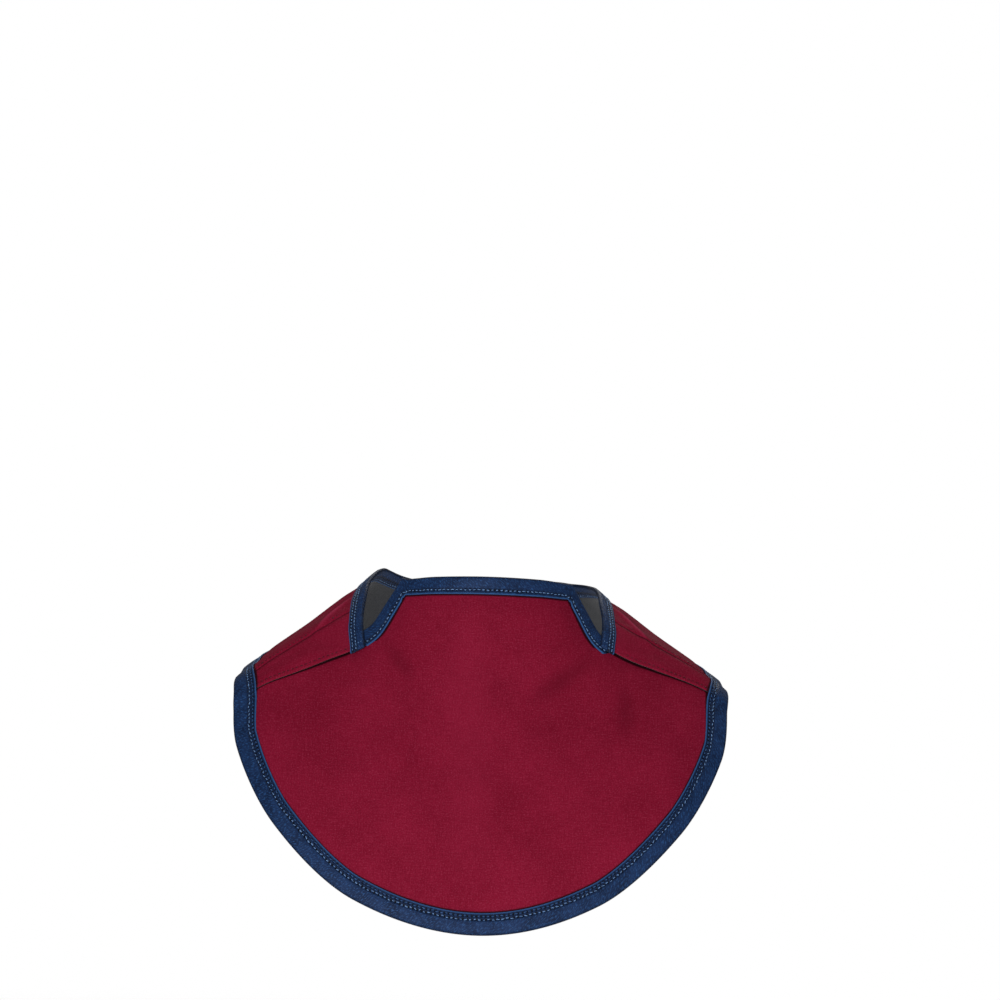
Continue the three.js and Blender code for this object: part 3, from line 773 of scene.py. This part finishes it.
def makeWing(name, side):
    # grid from the front fold round to the strap's end; both ends are half rounds of the fold's radius
    turn, share = wingGrid(side)
    ground = surface(turn, share)
    low, high = wingLow(turn, share, side), wingHigh(turn, share, side)
    roundLength = length(stepRound(turn, share))
    fromFold = (turn - foldTurn(share, side)) * roundLength
    fromEnd = (cut["strapTurn"] - turn) * roundLength
    inside = smooth(*wing["calm"], wingInside(turn, share, side))
    creased = crease(ground, wing["creases"][side])
    relief = creased + wing["unevenness"] * ripples(ground, wing["rippleLength"], wing["rippleSeed"] + side)
    fromSeam = (turn - seamLine(share, side)) * roundLength
    groove = wing["seamDepth"] * np.exp(-(fromSeam / wing["seamWidth"]) ** 2)
    puff = wing["puff"] * np.exp(-((np.abs(fromSeam) - wing["puffAway"]) / wing["puffWidth"]) ** 2)
    stitched = wing["stitchDepth"] * sum(
        np.exp(-((away - wing["topstitch"]) / wing["stitchWidth"]) ** 2) for away in (fromFold, fromEnd))
    high = high + (relief + puff) * inside - groove * (high - low) / layers["panel"] - stitched
    bend = np.sqrt(1 - (1 - np.clip(np.minimum(fromFold, fromEnd) / wing["foldRadius"], 0, 1)) ** 2)
    middle, half = (high + low) / 2, (high - low) / 2 * bend
    top = place(side * turn, share, middle + half)
    bottom = place(side * turn, share, middle - half)
    along = np.broadcast_to(runs(ground[:, wing["down"] // 2], 0)[:, None], turn.shape)
    uv = np.stack([along, runs(ground, 1)], -1)
    # distances that the painted shadow lines follow: past the tapes' edges and along the second seam
    fromNeckTape = fromNeck(turn, share, side) - neckTape["width"]
    fromTapes = np.minimum(fromNeckTape, fromHem(turn, share) - hemTape["width"])
    marks = {"from_seam": np.minimum(fromTapes, np.abs(fromSeam) + wing["seamShade"]), "relief": creased}
    return shellPiece(name, top, bottom, uv, [shellCloth, liningCloth], marks)


# Bias binding

folded = {
    "bend": 1.3,                                # inset at which the outer bend starts
    "crownPower": 0.8,                          # moves the crown towards the outer edge
    "beadInset": 0.6, "beadWidth": 0.4,         # bead of the inner fold
    "sink": 0.26, "sinkWidth": 0.55,            # at a stitch row
    "pucker": 0.12, "puckerWidth": 0.7,         # between the stitches of a row
    "waver": 0.14, "waverLength": 17.0,
    "tucked": -0.35,                            # the inner fold goes this deep into the pad
    "closing": (0.25, 0.72, 0.93, 1),           # how far the section is open at its first stations
}


def tapeSection(look):
    # closed section of a folded tape: inset from the edge, level from the underside (0) to the top (1)
    # of what it wraps, and how far off that; the outside is crowned, sinks at the stitch rows and
    # ends in a bead at the fold
    width, bend = look["width"], folded["bend"]
    face = np.concatenate([[width, width - 0.12, width - 0.3], np.linspace(width - 0.55, bend, 23)])
    lift = look["crown"] * np.sin(np.pi * np.clip(face / width, 0, 1) ** folded["crownPower"])
    lift += look["bead"] * np.exp(-((face - width + folded["beadInset"]) / folded["beadWidth"]) ** 2)
    for row in look["rows"]:
        lift -= folded["sink"] * np.exp(-((face - row) / folded["sinkWidth"]) ** 2)
    lift[0] = folded["tucked"]
    lift[1] = lift[2] * 0.5
    angle = np.radians(np.array([70, 45, 20, -5, -30, -55, -78]))
    back = np.concatenate([np.linspace(bend, width - 0.4, 9), [width]])
    slotIn, slotOut = np.linspace(width - 0.4, 0.7, 4), np.linspace(0.7, width - 0.4, 4)
    inset = np.concatenate([face, bend * (1 - np.cos(angle)), back, slotIn, slotOut])
    level = np.concatenate([face * 0 + 1, (1 + np.sin(angle)) / 2, back * 0, slotIn * 0, slotOut * 0 + 1])
    off = np.concatenate([wrap + lift, wrap * np.sin(angle), -wrap + 0 * back, -layers["air"] + 0 * slotIn,
                          layers["air"] + 0 * slotOut])
    off[len(face) + len(angle) + len(back) - 1] = -0.3
    isSlot = np.concatenate([face * 0, angle * 0, back * 0, slotIn * 0 + 1, slotOut * 0 + 1])
    return inset, level, off, isSlot


def liftAt(look, inset):
    # height of the tape's outside over its base at one inset
    width = look["width"]
    lift = look["crown"] * math.sin(math.pi * (inset / width) ** folded["crownPower"])
    return wrap + lift - folded["sink"]


def makeTape(name, look, where, low, high, cloth):
    # carries the section along the stations; where(inset) gives their turns and shares
    inset, level, off, isSlot = tapeSection(look)
    rings = []
    opening = np.ones(len(where(0.0)[0]))
    opening[:4] = folded["closing"]
    opening[-4:] = folded["closing"][::-1]
    middle = where(look["width"] / 2)
    travelled = runs(place(*middle, 0 * middle[0]), 0)
    slotOpening = np.where(opening < 1, 0.02, 1)
    pucker = 0.5 + 0.5 * np.cos(2 * np.pi * travelled / tapeLook["stitch"])
    line = np.stack([travelled, 0 * travelled, 0 * travelled], -1)
    waver = folded["waver"] * ripples(line, folded["waverLength"], len(name))
    for i in range(len(inset)):
        turn, share = where(inset[i])
        base, top = low(turn, share), high(turn, share)
        row = sum(math.exp(-((inset[i] - r) / folded["puckerWidth"]) ** 2) for r in look["rows"])
        outside = 1 - isSlot[i]
        arch = math.sin(math.pi * min(inset[i] / look["width"], 1))
        rise = off[i] + outside * waver * arch * np.sign(off[i])
        if level[i] == 1 and outside:
            rise = rise - folded["pucker"] * row * pucker
        height = mix(base, top, level[i]) + rise
        half = (base + top) / 2
        height = half + (height - half) * (slotOpening if isSlot[i] else opening)
        rings.append(place(turn, share, height))
    points = np.stack(rings, 1)
    stations, size = points.shape[:2]
    index = np.arange(stations * size).reshape(stations, size)
    ringed = np.concatenate([index, index[:, :1]], 1)
    faces = quads(ringed)
    caps = [index[0].tolist(), index[-1][::-1].tolist()]
    station, onFace = stations // 2, 10
    corner = points[station, onFace]
    normal = np.cross(points[station + 1, onFace] - corner, points[station, onFace + 1] - corner)
    if normal @ outward(*[v[station] for v in where(inset[onFace])]) < 0:
        faces = faces[:, ::-1]
        caps = [c[::-1] for c in caps]
    uv = np.stack([np.broadcast_to(travelled[:, None], (stations, size)),
                   np.broadcast_to(inset[None, :], (stations, size))], -1)
    return makeMesh(name, points.reshape(-1, 3), faces.tolist() + caps, [cloth], uv.reshape(-1, 2))


def hemWhere(hemTurn):
    # along the whole hem: columns follow the wing's fold near it, and insets run square to the hem
    side, a = np.where(hemTurn < 0, -1, 1), np.abs(hemTurn)
    foldEnd = pick("foldHemTurn", side)

    def column(share):
        fold = foldTurn(share, side)
        onWing = mix(fold, cut["strapTurn"], (a - foldEnd) / (cut["strapTurn"] - foldEnd))
        return np.where(a < foldEnd, a * fold / foldEnd, onWing)

    down = (surface(column(1.0), 1.0) - surface(column(1 - probe), 1 - probe)) / probe
    reach = 1 / length(np.cross(down, unit(stepRound(a, 1.0))))

    def where(inset):
        share = 1 - inset * reach
        return side * column(share), share

    return where


def hemLow(turn, share):
    # underside of what the hem's tape wraps
    return strapRise(np.abs(turn), turn)


def hemHigh(turn, share):
    # on the bib, then up over the wing's fold within a few degrees, then on the wing
    a = np.abs(turn)
    fold = foldTurn(share, turn)
    lapped = wingHigh(np.maximum(a, fold), share, turn)
    return mix(bibHigh(a, share), lapped, smooth(*hemTape["climb"], a - fold))


def throatLow(turn, share):
    # the bib's underside is the surface itself
    return 0 * turn


def throatHigh(turn, share):
    # top of the bib's pad
    return bibHigh(np.abs(turn), share)


def neckLow(turn, share):
    # underside of the wing on the turn's side
    return wingLow(np.abs(turn), share, turn)


def neckHigh(turn, share):
    # top of the wing on the turn's side
    return wingHigh(np.abs(turn), share, turn)


def neckWhere(start, side):
    # along the wing's neck edge: insets run square to the edge, and along the front fold at the notch
    top = neckShare(start, side)
    before, after = start - 0.5, start + 0.5
    edge = unit(surface(after, neckShare(after, side)) - surface(before, neckShare(before, side)))
    around, down = stepRound(start, top), stepDown(start, top)
    ratio = -(down * edge).sum(-1) / (around * edge).sum(-1)
    square = length(ratio[:, None] * around + down)
    notch = float(pick("notchShare", side))
    below = surface(foldTurn(notch + probe, side), notch + probe)
    foldReach = probe / length(below - surface(cut["notchTurn"], notch))
    travelled = runs(surface(start, top), 0)
    fromNotch = travelled - np.interp(cut["notchTurn"], start, travelled)
    away = smooth(0, neckTape["squared"], fromNotch)

    def where(inset):
        alongFold = foldTurn(notch + inset * foldReach, side) + start - cut["notchTurn"]
        turn = mix(alongFold, start + ratio * inset / square, away)
        share = top + inset * mix(foldReach, 1 / square, away)
        return side * turn, share

    return where


def throatWhere():
    # along the top of the tab, mitred round its corners, down its sides and under the wings, where its end
    # is cut slantwise along their folds
    width = throatTape["width"]
    wide = width + throatTape["slack"]
    inTop = np.linspace(0, 1, throatTape["topCount"])[1:-1]
    inFan = np.linspace(1, 0, throatTape["fanCount"])
    inSide = np.linspace(0, 1, throatTape["sideCount"])[1:]

    def tabPoint(across, down):
        share = down / length(stepDown(cut["tabTurn"], 0.0))
        return besideSide(share, across)[0], share + 0 * across

    def where(inset):
        inset = np.asarray(float(inset))
        ramp = mix(wide * inFan, width + throatTape["slack"] * inFan, inset / width)
        turnTop = inTop * float(tabPoint(wide, inset)[0])
        shareTop = inset / length(stepDown(turnTop, 0.0))
        turnIn, shareIn = tabPoint(ramp, inset)
        turnOut, shareOut = tabPoint(inset + 0 * inFan, ramp[::-1])
        shareStart = tabPoint(np.asarray(0.0), wide)[1]
        end = mix(throatEnd["outer"], throatEnd["inner"], inset / width)
        turnSide, shareSide = besideSide(mix(shareStart, end, inSide), inset)
        turn = np.concatenate([turnTop, turnIn, turnOut[1:], turnSide])
        share = np.concatenate([shareTop, shareIn, shareOut[1:], shareSide])
        middle = inset / length(stepDown(0.0, 0.0))
        return np.concatenate([-turn[::-1], [0], turn]), np.concatenate([share[::-1], [middle], share])

    return where


# Stitches

stitch = {
    "tape": {"pitch": 2.5, "long": 1.5, "radius": 0.25},
    "cloth": {"pitch": 2.6, "long": 1.5, "radius": 0.2, "jitter": 0.05},
    "end": {"pitch": 1.7, "long": 0.9, "radius": 0.17, "jitter": 0.15},
    "rise": 0.2, "sunk": 0.08, "lively": 0.3, "sides": 6,
}


def makeStitches(name, rows, thread):
    # each stitch is a six-sided bowed tube along its row, a half sine high, with its ends in the cloth;
    # their lengths and thicknesses vary a little
    allPoints, allFaces = [], []
    base = 0
    t = np.array([-1, -0.75, 0, 0.75, 1])
    taper = np.array([0.45, 0.9, 1, 0.9, 0.45])
    sides = stitch["sides"]
    angle = np.arange(sides) * 2 * np.pi / sides
    for points, normals, form in rows:
        pitch, jitter = form["pitch"], form["jitter"]
        travelled = runs(points, 0)
        centre = np.arange(pitch * 0.5, travelled[-1] - pitch * 0.3, pitch)
        size = 1 + stitch["lively"] * chance.uniform(-1, 1, (len(centre), 2))
        where = np.clip(centre[:, None] + t[None, :] * size[:, :1] * form["long"] / 2, 0, travelled[-1])
        spot = np.stack([np.interp(where, travelled, points[:, k]) for k in range(3)], -1)
        up = unit(np.stack([np.interp(where, travelled, normals[:, k]) for k in range(3)], -1))
        along = unit(spot[:, -1:] - spot[:, :1])
        beside = np.cross(along, up)
        sway = chance.uniform(-jitter, jitter, (len(centre), 2))
        spot = spot + beside * (sway[:, :1] + sway[:, 1:] * t[None, :])[..., None]
        bow = stitch["rise"] * np.clip(np.cos(t * np.pi / 2), 0, 1) ** 0.7 - stitch["sunk"]
        spot = spot + up * bow[None, :, None]
        thick = size[:, 1:] * form["radius"] * taper[None, :]
        ring = (beside[:, :, None, :] * np.cos(angle)[None, None, :, None]
                + up[:, :, None, :] * np.sin(angle)[None, None, :, None])
        tube = spot[:, :, None, :] + ring * thick[:, :, None, None]
        index = np.arange(tube.size // 3).reshape(len(centre), len(t), sides) + base
        closed = np.concatenate([index, index[:, :, :1]], 2)
        a, b, c, d = closed[:, :-1, :-1], closed[:, :-1, 1:], closed[:, 1:, 1:], closed[:, 1:, :-1]
        allFaces += np.stack([a, b, c, d], -1).reshape(-1, 4).tolist()
        allFaces += index[:, 0, ::-1].tolist() + index[:, -1].tolist()
        allPoints.append(tube.reshape(-1, 3))
        base += tube.size // 3
    piece = makeMesh(name, np.concatenate(allPoints), allFaces, [thread])
    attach(piece, "root")
    return piece


def tapeRow(where, inset, high, look, jitter=0.1, under=False):
    # points, normals and form of a row along a tape, on its face or on its underside
    turn, share = where(inset)
    height = high(turn, share) + (-(wrap - 0.05) if under else liftAt(look, inset))
    normals = outward(turn, share) * (-1 if under else 1)
    return place(turn, share, height), normals, {**stitch["tape"], "jitter": jitter}


def endRow(where, high, look, station=7):
    # a few short stitches across the tape, at a station close to its end
    spots = [[v[station] for v in where(inset)] for inset in np.linspace(0.9, look["width"] - 1.2, 12)]
    turn, share = np.array(spots).T
    return place(turn, share, high(turn, share) + wrap + 0.1), outward(turn, share), stitch["end"]


def clothRow(turn, share, rise, side):
    # a row on a wing's face, a little above or below it
    height = wingHigh(turn, share, side) + rise
    return place(side * turn, share, height), outward(side * turn, share), stitch["cloth"]


# Hook and loop fastener

fastener = {"turn": 15.0, "margin": 14.5, "low": 2.25, "high": 4.95, "round": 0.9, "across": 60, "down": 44}


def makeFastener():
    # flat block of two tapes pressed together, with rounded edges
    turn = 180 + fastener["turn"] * np.linspace(-1, 1, fastener["across"])[:, None]
    down = length(stepDown(turn, 0.5))
    step = np.linspace(0, 1, fastener["down"])[None, :]
    share = mix(fastener["margin"] / down, 1 - fastener["margin"] / down, step)
    turn = np.broadcast_to(turn, share.shape)
    fromSides = np.minimum(share * down, (1 - share) * down) - fastener["margin"]
    fromEnds = (fastener["turn"] - np.abs(turn - 180)) * length(stepRound(turn, share))
    inside = np.minimum(fromSides, fromEnds)
    roundness = np.sqrt(1 - (1 - np.clip(inside / fastener["round"], 0, 1)) ** 2)
    middle, half = (fastener["low"] + fastener["high"]) / 2, (fastener["high"] - fastener["low"]) / 2
    ground = surface(turn, share)
    uv = np.stack([runs(ground, 0), runs(ground, 1)], -1)
    top, bottom = place(turn, share, middle + half * roundness), place(turn, share, middle - half * roundness)
    return shellPiece("hook_and_loop_fastener", top, bottom, uv, [pileTape, pileTape])


# Making all pieces

padded = []
piece = makeBib()
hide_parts("front_bib")
padded.append(piece)
for name, node, side in (("padded_left_wing", "left_wing", -1), ("padded_right_wing", "right_wing", 1)):
    piece = makeWing(name, side)
    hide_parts(node)
    padded.append(piece)
for piece in padded:
    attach(piece, "root")
print("panels made")

front, strap, wingCount = hemTape["frontTurn"], cut["strapTurn"], hemTape["wingCount"]
hemTurns = np.concatenate([np.linspace(-strap, -front, wingCount),
                           np.linspace(-front, front, hemTape["frontCount"])[1:-1],
                           np.linspace(front, strap, wingCount)])
hem = hemWhere(hemTurns)
hemPiece = makeTape("hem_bias_binding", hemTape, hem, hemLow, hemHigh, hemCloth)
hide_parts("outer_binding")
tapes = [hemPiece]

throat = throatWhere()
throatPiece = makeTape("throat_bias_binding", throatTape, throat, throatLow, throatHigh, throatCloth)
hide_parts("throat_binding")
tapes.append(throatPiece)

neckSteps = np.linspace(0, 1, neckTape["count"])[1:] ** neckTape["crowd"]
neckTurns = np.concatenate([cut["notchTurn"] - np.array(neckTape["ahead"]),
                            mix(cut["notchTurn"], cut["strapTurn"], neckSteps)])
neckPaths = {}
for name, node, side in (("left_neck_bias_binding", "left_neck_binding", -1),
                         ("right_neck_bias_binding", "right_neck_binding", 1)):
    neckPaths[side] = neckWhere(neckTurns, side)
    tapePiece = makeTape(name, neckTape, neckPaths[side], neckLow, neckHigh, neckCloth)
    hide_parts(node)
    tapes.append(tapePiece)
for piece in tapes:
    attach(piece, "root")
print("bindings made")

fastenerPiece = makeFastener()
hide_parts("closure_patch")
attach(fastenerPiece, "root")

makeStitches("hem_stitches", [
    tapeRow(hem, hemTape["rows"][0], hemHigh, hemTape, jitter=0.35),
], blueThread)
# the second hem row and the row underneath are sewn in the darker copy of the thread: painted shade
makeStitches("hem_edge_stitches", [
    tapeRow(hem, hemTape["rows"][1], hemHigh, hemTape, jitter=0.2),
    tapeRow(hem, hemTape["rows"][1], hemLow, hemTape, under=True),
], shadeThread)
makeStitches("throat_stitches", [
    tapeRow(throat, throatTape["rows"][0], throatHigh, throatTape, jitter=0.15),
    tapeRow(throat, throatTape["rows"][0], throatLow, throatTape, under=True),
], blueThread)
for side, name in ((-1, "left_neck_stitches"), (1, "right_neck_stitches")):
    path = neckPaths[side]
    makeStitches(name, [
        tapeRow(path, neckTape["rows"][0], neckHigh, neckTape),
        tapeRow(path, neckTape["rows"][1], neckHigh, neckTape),
        tapeRow(path, neckTape["rows"][1], neckLow, neckTape, under=True),
        endRow(path, neckHigh, neckTape),
    ], blueThread)

for side, name in ((-1, "left_wing_stitches"), (1, "right_wing_stitches")):
    foldRow, seamRow = wing["foldStitches"], wing["seamStitches"]
    share = np.linspace(foldRow["from"], foldRow["to"], 200)
    fold = foldTurn(share, side)
    fold = fold + wing["topstitch"] / length(stepRound(fold, share))
    seamShare = np.linspace(wing["seam"][side][0][1] + seamRow["past"], seamRow["to"], 200)
    seam = seamLine(seamShare, side)
    seam = seam + wing["topstitch"] / length(stepRound(seam, seamShare))
    makeStitches(name, [
        clothRow(fold, share, foldRow["rise"], side),
        clothRow(seam, seamShare, seamRow["rise"], side),
    ], redThread)
print("stitches made")


# Stage, light and camera

studio = {
    "camera": (0.00582, -2.5, 0.0403), "lens": 159.71, "roll": 1.6,
    "floorHeight": -0.42, "floorRadius": 2.2, "floorSides": 96,
    "floorColour": "#f4f3f1", "floorGlow": 0.3, "floorRoughness": 0.8,
    "floorFade": (0.7, 1.7),        # radii where it starts to fade and is clear
    "ambient": 0.12,
}

# pale floor disc, far below, that fades to clear towards its rim
ring = np.linspace(0, 2 * np.pi, studio["floorSides"] + 1)[:-1]
floorPoints = np.stack([studio["floorRadius"] * np.cos(ring), studio["floorRadius"] * np.sin(ring),
                        np.full(len(ring), studio["floorHeight"])], -1) / millimetre
floorMaterial, floorTree, floorShader = newMaterial("pale_floor")
for socket in ("Base Color", "Emission Color"):
    floorShader.inputs[socket].default_value = linear(studio["floorColour"])
floorShader.inputs["Emission Strength"].default_value = studio["floorGlow"]
floorShader.inputs["Roughness"].default_value = studio["floorRoughness"]
clear = addNode(floorTree, "ShaderNodeBsdfTransparent")
spot = addNode(floorTree, "ShaderNodeTexCoord").outputs["Object"]
spread = addNode(floorTree, "ShaderNodeVectorMath", {"operation": "LENGTH"}, {0: spot}).outputs["Value"]
fadeStart, fadeEnd = studio["floorFade"]
fading = {1: fadeStart, 2: fadeEnd, "interpolation_type": "SMOOTHSTEP"}
fade = addNode(floorTree, "ShaderNodeMapRange", fading, {0: spread}).outputs[0]
fadeLinks = {0: fade, 1: floorShader.outputs[0], 2: clear.outputs[0]}
faded = addNode(floorTree, "ShaderNodeMixShader", links=fadeLinks)
floorTree.links.new(faded.outputs[0], floorTree.nodes["Material Output"].inputs["Surface"])
floor = makeMesh("pale_floor_disc", floorPoints, [list(range(len(ring)))], [floorMaterial])


def softbox(name, spot, aim, size, power):
    # round area light that looks from its spot at its aim
    light = bpy.data.lights.new(name, "AREA")
    light.shape, light.size, light.energy = "DISK", size, power
    lamp = bpy.data.objects.new(name, light)
    lamp.location = spot
    lamp.rotation_mode = "QUATERNION"
    lamp.rotation_quaternion = (Vector(aim) - Vector(spot)).to_track_quat("-Z", "Y")
    bpy.context.scene.collection.objects.link(lamp)


middle = (0, 0, -0.1)
softbox("key_softbox", (-0.55, -2.3, 0.1), middle, 1.2, 35)
softbox("fill_softbox", (1.5, -1.6, 0.2), middle, 1.4, 6)
softbox("top_softbox", (0.1, 0.2, 1.9), middle, 1.3, 5)
softbox("back_softbox", (0.2, 1.7, 1.4), middle, 1.4, 13)

# white to the camera, dim white to the collar
world = bpy.data.worlds.new("white_studio")
bpy.context.scene.world = world
world.use_nodes = True
sky = world.node_tree
sky.nodes.clear()
seen = addNode(sky, "ShaderNodeLightPath").outputs["Is Camera Ray"]
white = addNode(sky, "ShaderNodeBackground", {"Color": (1, 1, 1, 1), "Strength": 1.0})
soft = addNode(sky, "ShaderNodeBackground", {"Color": (1, 1, 1, 1), "Strength": studio["ambient"]})
either = addNode(sky, "ShaderNodeMixShader", links={0: seen, 1: soft.outputs[0], 2: white.outputs[0]})
addNode(sky, "ShaderNodeOutputWorld", links={"Surface": either.outputs[0]})

lens = bpy.data.cameras.new("photo_camera")
lens.lens, lens.sensor_width, lens.clip_end = studio["lens"], 36.0, 50.0
camera = bpy.data.objects.new("photo_camera", lens)
camera.location = studio["camera"]
camera.rotation_euler = (math.pi / 2, -math.radians(studio["roll"]), 0)
bpy.context.scene.collection.objects.link(camera)
bpy.context.scene.camera = camera
bpy.context.scene.view_settings.view_transform = "Standard"
print("studio made")
